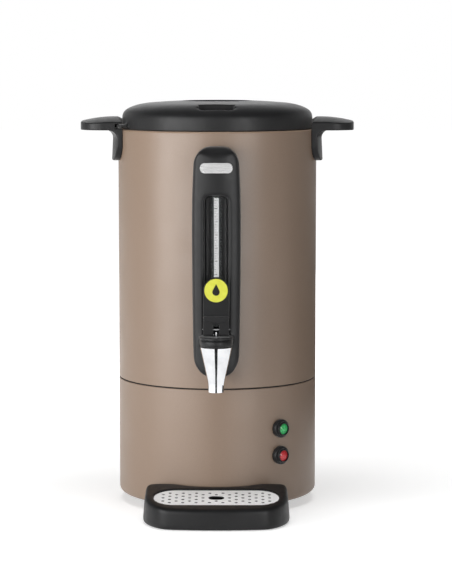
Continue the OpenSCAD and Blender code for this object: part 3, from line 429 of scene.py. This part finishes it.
def soft_copy(node, voxel, passes, keep, drop=0.0, round_over=None, block=None):
    """Copy of a moulded node with all its edges rounded over.

    They are rounded more where round_over(x, y, z) says so, and a block, if given, trims the copy
    to what lies inside it. The share of faces to keep is given, and a drop of the lower end.
    """
    obj = new_object(node + "_form", nodes[node].data.copy())
    weld = obj.modifiers.new("Weld", "WELD")
    weld.merge_threshold = WELD
    if block:
        trim = obj.modifiers.new("Trim", "BOOLEAN")
        trim.operation = "INTERSECT"
        trim.object = block
        baked(obj)
        bpy.data.objects.remove(block)
    remesh = obj.modifiers.new("Remesh", "REMESH")
    remesh.mode = "VOXEL"
    remesh.voxel_size = voxel
    relax(obj, passes)
    if round_over:
        baked(obj)
        group = obj.vertex_groups.new(name="Round")
        chosen = [vertex.index for vertex in obj.data.vertices if round_over(*vertex.co)]
        group.add(chosen, 1.0, "REPLACE")
        relax(obj, ROUND_PASSES, group.name)
    thin = obj.modifiers.new("Thin", "DECIMATE")
    thin.ratio = keep
    baked(obj)
    low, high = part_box(node)
    settle(obj, low - Vector((0, 0, drop)), high)
    shade(obj.data, SOFT_SHARP_ANGLE)
    stand_in(obj, node)
    return obj


def settle(obj, low, high, reach=8 * MM):
    """Draws the ends that smoothing has pulled in back to the node's own box, within this reach."""
    for axis in range(3):
        places = [vertex.co[axis] for vertex in obj.data.vertices]
        first, last = min(places), max(places)
        for vertex in obj.data.vertices:
            near_low = max(0, 1 - (vertex.co[axis] - first) / reach)
            near_high = max(0, 1 - (last - vertex.co[axis]) / reach)
            vertex.co[axis] += near_low * (low[axis] - first) + near_high * (high[axis] - last)


def barrel(obj, narrow, full_at):
    """Draws an upright moulding in by about this share towards its ends.

    It keeps its full width at one height, given as a share of the whole.
    """
    heights = [vertex.co.z for vertex in obj.data.vertices]
    low, high = min(heights), max(heights)
    full = low + full_at * (high - low)
    reach_up = 0.65 * (high - full)
    reach_down = 0.75 * (full - low)
    farthest = 1.15
    for vertex in obj.data.vertices:
        if vertex.co.z > full:
            away = (vertex.co.z - full) / reach_up
        else:
            away = (full - vertex.co.z) / reach_down
        vertex.co.x *= 1 - narrow * min(away, farthest) ** 2


def arc(centre, radius, start, end, steps):
    """Points along an arc in the profile plane, angles in degrees."""
    points = []
    for step in range(steps + 1):
        angle = math.radians(start + (end - start) * step / steps)
        points.append((centre[0] + radius * math.cos(angle), centre[1] + radius * math.sin(angle)))
    return points


def lathe(name, profile, segments=256):
    """Turns a closed profile of (radius, height) points about the Z axis."""
    work = bmesh.new()
    rings = []
    for step in range(segments):
        turn = 2 * math.pi * step / segments
        rings.append([
            work.verts.new((r * math.cos(turn), r * math.sin(turn), z)) for r, z in profile])
    for step in range(segments):
        here = rings[step]
        there = rings[(step + 1) % segments]
        for i in range(len(profile)):
            j = (i + 1) % len(profile)
            work.faces.new((here[i], there[i], there[j], here[j]))
    bmesh.ops.remove_doubles(work, verts=work.verts, dist=LATHE_WELD)
    bmesh.ops.recalc_face_normals(work, faces=work.faces)
    return finished(work, name)


def solid_from(name, outlines, depth):
    """Flat outlines in the XY plane, each raised by the depth along Z, as one mesh."""
    work = bmesh.new()
    for outline in outlines:
        face = work.faces.new([work.verts.new((x, y, 0)) for x, y in outline])
        face.normal_update()
        if face.normal.z > 0:
            face.normal_flip()
        raised = bmesh.ops.extrude_face_region(work, geom=[face], use_keep_orig=True)
        corners = [part for part in raised["geom"] if isinstance(part, bmesh.types.BMVert)]
        bmesh.ops.translate(work, vec=(0, 0, depth), verts=corners)
    bmesh.ops.recalc_face_normals(work, faces=work.faces)
    return finished(work, name)


# Casing

SHEET = 1.2 * MM
HEM = 0.4 * MM
SEAM_EASE = 0.15 * MM
RIM_RISE = 0.9 * MM
casing_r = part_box("base_housing")[1].x


def make_upper_casing():
    """Upper casing: a rolled sheet with a round shoulder."""
    low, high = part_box("outer_shell")
    top_z = high.z + RIM_RISE
    hem_z = low.z + SEAM_EASE
    shoulder = 2 * MM
    inner_edge = casing_r - 11 * MM
    turn_at = (casing_r - shoulder, top_z - shoulder)
    outer = arc(turn_at, shoulder, 0, 90, 10)
    inner = arc(turn_at, shoulder - SHEET, 90, 0, 8)
    profile = (
        [(casing_r - SHEET, hem_z), (casing_r - HEM, hem_z), (casing_r, hem_z + HEM)]
        + outer + [(inner_edge, top_z), (inner_edge, top_z - SHEET)] + inner)
    stand_in(lathe("outer_shell_form", profile), "outer_shell")


def make_base_casing():
    """Base casing: a drawn cup wall with a round lower edge, and an inner lip at the seam that
    takes a dark material as painted shade in the seam gap.
    """
    low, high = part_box("base_housing")
    lip_h = 7 * MM
    lip_play = 0.1 * MM
    seam_z = high.z - lip_h - SEAM_EASE
    lip_r = casing_r - SHEET - lip_play
    turn = 6 * MM
    turn_at = (casing_r - turn, low.z + turn)
    flange_r = casing_r - 17 * MM
    outer = arc(turn_at, turn, -90, 0, 10)
    inner = arc(turn_at, turn - SHEET, 0, -90, 8)
    edge = [(casing_r, seam_z - HEM), (casing_r - HEM, seam_z)]
    lip = [(lip_r, seam_z), (lip_r, high.z), (lip_r - SHEET, high.z),
           (lip_r - SHEET, seam_z - lip_h), (casing_r - SHEET, seam_z - lip_h)]
    profile = [(flange_r, low.z)] + outer + edge + lip + inner + [(flange_r, low.z + SHEET)]
    casing = lathe("base_housing_form", profile)
    stand_in(casing, "base_housing")
    # Painted shade: the inner lip inside the seam gap takes the dark rubber material
    casing.data.materials.append(materials["black_rubber"])
    for face in casing.data.polygons:
        if face.center.z > seam_z + HEM / 2:
            face.material_index = 1


make_upper_casing()
make_base_casing()


# Black mouldings

panel_low, panel_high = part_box("front_panel")
panel_crown_z = panel_high.z - 16 * MM
panel_crown_y = panel_low.y + 24 * MM
grid_low, grid_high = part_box("drip_grid")
grid_half = (grid_high - grid_low) / 2
grid_mid_y = (grid_low.y + grid_high.y) / 2
grid_border = 4 * MM
lid_shoulder_r = 90 * MM
lid_wall_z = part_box("lid_shell")[0].z + 6 * MM


def on_panel_crown(x, y, z):
    """True on the front of the panel's upper end."""
    return z > panel_crown_z and y < panel_crown_y


def outside_grid(x, y, z):
    """True where the tray lies more than a few millimetres outside the stadium of the grid."""
    along = max(abs(x) - (grid_half.x - grid_half.y), 0)
    return math.hypot(along, y - grid_mid_y) > grid_half.y + grid_border


def on_lid_shoulder(x, y, z):
    """True on the lid's outer edge above its upright wall."""
    return math.hypot(x, y) > lid_shoulder_r and z > lid_wall_z


def make_tray_block():
    """Tapered block with the tray's plan: a bowed front that runs into oval corners."""
    low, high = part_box("drip_tray")
    room = 0.3 * MM
    half = high.x + room
    rear_y = high.y + 20 * MM
    corner_x, corner_y = 29 * MM, 45 * MM
    bow_r = 350 * MM
    draft_h, draft = 40 * MM, 0.962
    middle_y = -casing_r - 39.5 * MM
    foot_z, height = -5 * MM, 50 * MM
    steps = 96
    plan = [(-half, rear_y)]
    for step in range(steps + 1):
        x = half * math.sin(math.pi * (step / steps - 0.5))
        turn = max(0, abs(x) - half + corner_x) / corner_x
        bow = bow_r - math.sqrt(bow_r ** 2 - x ** 2)
        corner = corner_y * (1 - math.sqrt(max(0, 1 - turn ** 2)))
        plan.append((x, low.y - room + bow + corner))
    plan.append((half, rear_y))
    block = solid_from("tray_block", [plan], height)
    for vertex in block.data.vertices:
        z = vertex.co.z + foot_z
        size = 1 - (1 - draft) * z / draft_h
        vertex.co = (vertex.co.x * size, middle_y + (vertex.co.y - middle_y) * size, z)
    return block


for name in ("left_handle", "right_handle"):
    soft_copy(name, voxel=0.7 * MM, passes=6, keep=0.35)
panel = soft_copy(
    "front_panel", voxel=0.6 * MM, passes=14, keep=0.3, round_over=on_panel_crown)
barrel(panel, narrow=0.045, full_at=0.66)
soft_copy("tap_lever", voxel=0.35 * MM, passes=6, keep=0.4)
tray = soft_copy(
    "drip_tray", voxel=0.8 * MM, passes=10, keep=0.3, round_over=outside_grid,
    block=make_tray_block())
dress(tray, "dull_black")
soft_copy(
    "lid_shell", voxel=0.7 * MM, passes=4, keep=0.35, drop=0.5 * MM - RIM_RISE,
    round_over=on_lid_shoulder)


# Metal and small pieces

for name in (
        "tap_body", "tap_bonnet", "valve_stem", "lever_pin", "lamp_bezels", "green_lens",
        "red_lens", "sight_glass", "badge_plate", "lever_badge", "drip_grid", "foot_ring",
        "cord_gland"):
    clean_copy(name)

# The strip's white face is narrower than its backing
STRIP_SHARE = 0.78
strip = clean_copy("level_strip")
strip_low, strip_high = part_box("level_strip")
strip_x = (strip_low.x + strip_high.x) / 2
for vertex in strip.data.vertices:
    vertex.co.x = strip_x + (vertex.co.x - strip_x) * STRIP_SHARE

# The spring gets a mesh of its own
spring = clean_copy("valve_spring")
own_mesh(spring)


# Marks on the strip and the badge, and lips around the lamps

def lay_on(obj, centre, tilt):
    """Turns a piece made in the XY plane to face the front, at a place.

    The tilt, in degrees, leans it back.
    """
    lean = math.radians(tilt)
    across = Vector((1, 0, 0))
    up = Vector((0, math.sin(lean), math.cos(lean)))
    out = across.cross(up)
    for vertex in obj.data.vertices:
        vertex.co = centre + across * vertex.co.x + up * vertex.co.y + out * vertex.co.z


def make_strip_marks():
    """Raised graduations on the white strip, longer at each fifth."""
    width = (strip_high.x - strip_low.x) * STRIP_SHARE
    height = strip_high.z - strip_low.z
    pitch = 2.84 * MM
    margin = 2.5 * MM
    left = -width / 2 + 0.3 * MM
    raised = 0.12 * MM
    marks = []
    step = 0
    while margin + step * pitch < height - margin:
        long_mark = step % 5 == 0
        right = left + width * (0.62 if long_mark else 0.36)
        foot = margin + step * pitch
        head = foot + (0.55 if long_mark else 0.38) * MM
        marks.append([(left, foot), (right, foot), (right, head), (left, head)])
        step += 1
    obj = solid_from("strip_marks", marks, raised)
    lay_on(obj, Vector((strip_x, strip_low.y, strip_low.z)), 0)
    add_piece(obj, "urn", "black_plastic")


def make_badge_drop():
    """Dark drop on the badge."""
    low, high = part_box("lever_badge")
    tilt = 11
    badge_t = 1 * MM
    lean = math.radians(tilt)
    out = Vector((0, -math.cos(lean), math.sin(lean)))
    centre = (low + high) / 2 + out * badge_t / 2
    bulb_r = 3.9 * MM
    bulb_y = -1.6 * MM
    tip = 8.6 * MM
    raised = 0.1 * MM
    touch = math.degrees(math.acos(bulb_r / tip))
    outline = arc((0, bulb_y), bulb_r, 90 - touch, -270 + touch, 40) + [(0, tip + bulb_y)]
    obj = solid_from("badge_drop", [outline], raised)
    lay_on(obj, centre, tilt)
    add_piece(obj, "lever", "black_plastic")


def make_lamp_lips():
    """Raised inner ring of each lamp bezel, over the edge of its lens."""
    segments = 64
    for colour in ("green", "red"):
        low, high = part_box(colour + "_lens")
        middle = (low + high) / 2
        lens_r = (high.z - low.z) / 2
        out = Vector((middle.x, middle.y, 0)).normalized()
        across = Vector((-out.y, out.x, 0))
        tip = max(vertex.co.dot(out) for vertex in nodes[colour + "_lens"].data.vertices)
        inner_r, outer_r = 0.82 * lens_r, lens_r + 0.5 * MM
        foot, crest = tip - 3 * MM, tip - 0.2 * MM
        profile = [
            (inner_r, foot), (outer_r, foot), (outer_r, crest - 1.2 * MM),
            (outer_r - 0.5 * MM, crest - 0.6 * MM), (inner_r + 0.6 * MM, crest),
            (inner_r + 0.2 * MM, crest - 0.1 * MM), (inner_r, crest - 0.5 * MM)]
        ring = lathe(colour + "_lamp_lip", profile, segments)
        for vertex in ring.data.vertices:
            x, y, z = vertex.co
            vertex.co = Vector((0, 0, middle.z)) + out * z + across * x + Vector((0, 0, y))
        add_piece(ring, "urn", "black_plastic")


make_strip_marks()
make_badge_drop()

# CAD nodes that are still shown take the material of their own slot
for name, obj in nodes.items():
    if not obj.hide_render:
        dress(obj, slot_of_node[name])

make_lamp_lips()


# Studio

WHITE = (1, 1, 1, 1)
FLOOR_COLOUR = (0.8, 0.8, 0.8, 1)
FLOOR_HALF = 12
CARD_LIFT = 0.002

# Glow of the floor beside the urn, and the radii between which it grows to white
FLOOR_GLOW = 0.5
FLOOR_GLOW_SPAN = (0.25, 1.2)

# Room light on matt surfaces, and its dim shares overhead and on the near side
ROOM_LIGHT = 0.69
OVERHEAD_SPAN = (0.26, 0.6)
OVERHEAD_SHARE = 0.12
NEAR_SPAN = (0.92, 0.985)
NEAR_SHARE = 0.32

LENS = 135.4
SENSOR = 36
CAMERA_PLACE = (0.0224, -2.469, 0.502)
CAMERA_AIM = (0.0097, 0, 0.234)
URN_MIDDLE = (0, 0, 0.24)
TRAY_SIDE = (0, -0.15, 0)


def any_ray(tree, rays):
    """1 for rays of these kinds, 0 for the others."""
    path = tree.nodes.new("ShaderNodeLightPath")
    total = path.outputs[rays[0]]
    for ray in rays[1:]:
        total = arithmetic(tree, "MAXIMUM", total, path.outputs[ray])
    return total


def arithmetic(tree, operation, first, second):
    """Math node; a number goes on the socket, an output is linked."""
    node = tree.nodes.new("ShaderNodeMath")
    node.operation = operation
    for socket, value in zip(node.inputs, (first, second)):
        if isinstance(value, (int, float)):
            socket.default_value = value
        else:
            tree.links.new(value, socket)
    return node.outputs[0]


def fall_off(tree, value, span, low, high):
    """Runs from low to high as the value goes over the span."""
    spread = tree.nodes.new("ShaderNodeMapRange")
    spread.interpolation_type = "SMOOTHSTEP"
    set_range(spread, *span, low, high)
    tree.links.new(value, spread.inputs["Value"])
    return spread.outputs["Result"]


def flat_mesh(name, corners, height, material):
    """One level face."""
    mesh = bpy.data.meshes.new(name)
    mesh.from_pydata([(x, y, height) for x, y in corners], [], [range(len(corners))])
    mesh.materials.append(material)
    return mesh


def make_floor():
    """White floor that keeps the shadow."""
    material = bpy.data.materials.new("studio_floor")
    material.use_nodes = True
    tree = material.node_tree
    tree.nodes.clear()
    out = tree.nodes.new("ShaderNodeOutputMaterial")
    both = tree.nodes.new("ShaderNodeAddShader")
    matt = tree.nodes.new("ShaderNodeBsdfDiffuse")
    matt.inputs["Color"].default_value = FLOOR_COLOUR
    glow = tree.nodes.new("ShaderNodeEmission")
    glow.inputs["Color"].default_value = WHITE
    seen = any_ray(tree, ("Is Camera Ray", "Is Glossy Ray", "Is Transmission Ray"))
    place = tree.nodes.new("ShaderNodeTexCoord")
    away = tree.nodes.new("ShaderNodeVectorMath")
    away.operation = "LENGTH"
    tree.links.new(place.outputs["Object"], away.inputs[0])
    level = fall_off(tree, away.outputs["Value"], FLOOR_GLOW_SPAN, FLOOR_GLOW, 1.0)
    tree.links.new(arithmetic(tree, "MULTIPLY", seen, level), glow.inputs["Strength"])
    tree.links.new(matt.outputs[0], both.inputs[0])
    tree.links.new(glow.outputs[0], both.inputs[1])
    tree.links.new(both.outputs[0], out.inputs["Surface"])
    half = FLOOR_HALF
    corners = [(-half, -half), (half, -half), (half, half), (-half, half)]
    mesh = flat_mesh("studio_floor", corners, 0, material)
    new_object("studio_floor", mesh)


def make_world():
    """White backdrop behind the urn, in a room that is dim overhead and on the near side."""
    world = bpy.data.worlds.new("studio")
    scene.world = world
    world.use_nodes = True
    tree = world.node_tree
    tree.nodes.clear()
    out = tree.nodes.new("ShaderNodeOutputWorld")
    glow = tree.nodes.new("ShaderNodeBackground")
    glow.inputs["Color"].default_value = WHITE
    place = tree.nodes.new("ShaderNodeTexCoord")
    parts = tree.nodes.new("ShaderNodeSeparateXYZ")
    tree.links.new(place.outputs["Generated"], parts.inputs[0])
    up = parts.outputs["Z"]
    overhead = fall_off(tree, up, OVERHEAD_SPAN, 1.0, OVERHEAD_SHARE)
    level_square = arithmetic(tree, "SUBTRACT", 1.0, arithmetic(tree, "MULTIPLY", up, up))
    level_share = arithmetic(tree, "POWER", level_square, 0.5)
    bearing = arithmetic(tree, "DIVIDE", parts.outputs["Y"], level_share)
    near = fall_off(tree, bearing, NEAR_SPAN, NEAR_SHARE, 1.0)
    room = arithmetic(tree, "MULTIPLY", overhead, near)
    seen = any_ray(tree, ("Is Camera Ray", "Is Transmission Ray"))
    glossy = any_ray(tree, ("Is Glossy Ray",))
    strength = fall_off(tree, glossy, (0, 1), ROOM_LIGHT, 1.0)
    shown = arithmetic(tree, "MAXIMUM", seen, arithmetic(tree, "MULTIPLY", room, strength))
    tree.links.new(shown, glow.inputs["Strength"])
    tree.links.new(glow.outputs[0], out.inputs["Surface"])


def make_dark_card(name, corners):
    """Dark card on the floor, which only bright metal and gloss pick up."""
    material = bpy.data.materials.new(name)
    material.use_nodes = True
    shader = material.node_tree.nodes["Principled BSDF"]
    shader.inputs["Base Color"].default_value = srgb(16, 16, 16)
    shader.inputs["Roughness"].default_value = 0.9
    card = new_object(name, flat_mesh(name, corners, CARD_LIFT, material))
    card.visible_camera = False
    card.visible_diffuse = False
    card.visible_shadow = False


def aim(obj, target):
    """Points a lamp or the camera at a place."""
    direction = Vector(target) - obj.location
    obj.rotation_euler = direction.to_track_quat("-Z", "Y").to_euler()


def make_lamp(name, place, target, size, power, mirrored=True, scattered=True):
    """Rectangular lamp, which gloss may not mirror or matt surfaces not take up."""
    lamp = bpy.data.lights.new(name, "AREA")
    lamp.shape = "RECTANGLE"
    lamp.size, lamp.size_y = size
    lamp.energy = power
    obj = new_object(name, lamp)
    obj.location = place
    obj.visible_glossy = mirrored
    obj.visible_diffuse = scattered
    aim(obj, target)


def make_camera():
    """Long lens from slightly above, a little to the right."""
    data = bpy.data.cameras.new("camera")
    data.sensor_fit = "AUTO"
    data.sensor_width = SENSOR
    data.lens = LENS
    data.clip_end = 100
    obj = new_object("camera", data)
    obj.location = CAMERA_PLACE
    aim(obj, CAMERA_AIM)
    scene.camera = obj


make_floor()
make_world()
make_dark_card("front_card", [(-0.035, -0.34), (-0.36, -1.6), (0.36, -1.6), (0.035, -0.34)])
make_dark_card("side_card", [
    (0.52, -0.05), (4.5, -0.05), (4.5, 4.0), (0.25, 4.0), (0.25, 0.6), (0.34, 0.32), (0.52, 0.25)])
make_lamp("key", (-1.6, -2.05, 0.5), URN_MIDDLE, (2.1, 1.0), 35)
make_lamp("front", (1.35, -2.5, 0.55), URN_MIDDLE, (1.0, 1.0), 8)
make_lamp("shine", (1.45, -2.4, 0.5), URN_MIDDLE, (0.9, 1.0), 15, scattered=False)
make_lamp("edge", (-1.68, -0.9, 0.45), URN_MIDDLE, (0.4, 1.0), 10)
make_lamp("back", (0.5, 2.4, 0.8), URN_MIDDLE, (1.6, 1.2), 14, mirrored=False)
make_lamp("top", (0, -0.25, 2.2), TRAY_SIDE, (1.4, 0.8), 25, mirrored=False)
make_camera()
scene.view_settings.view_transform = "Standard"
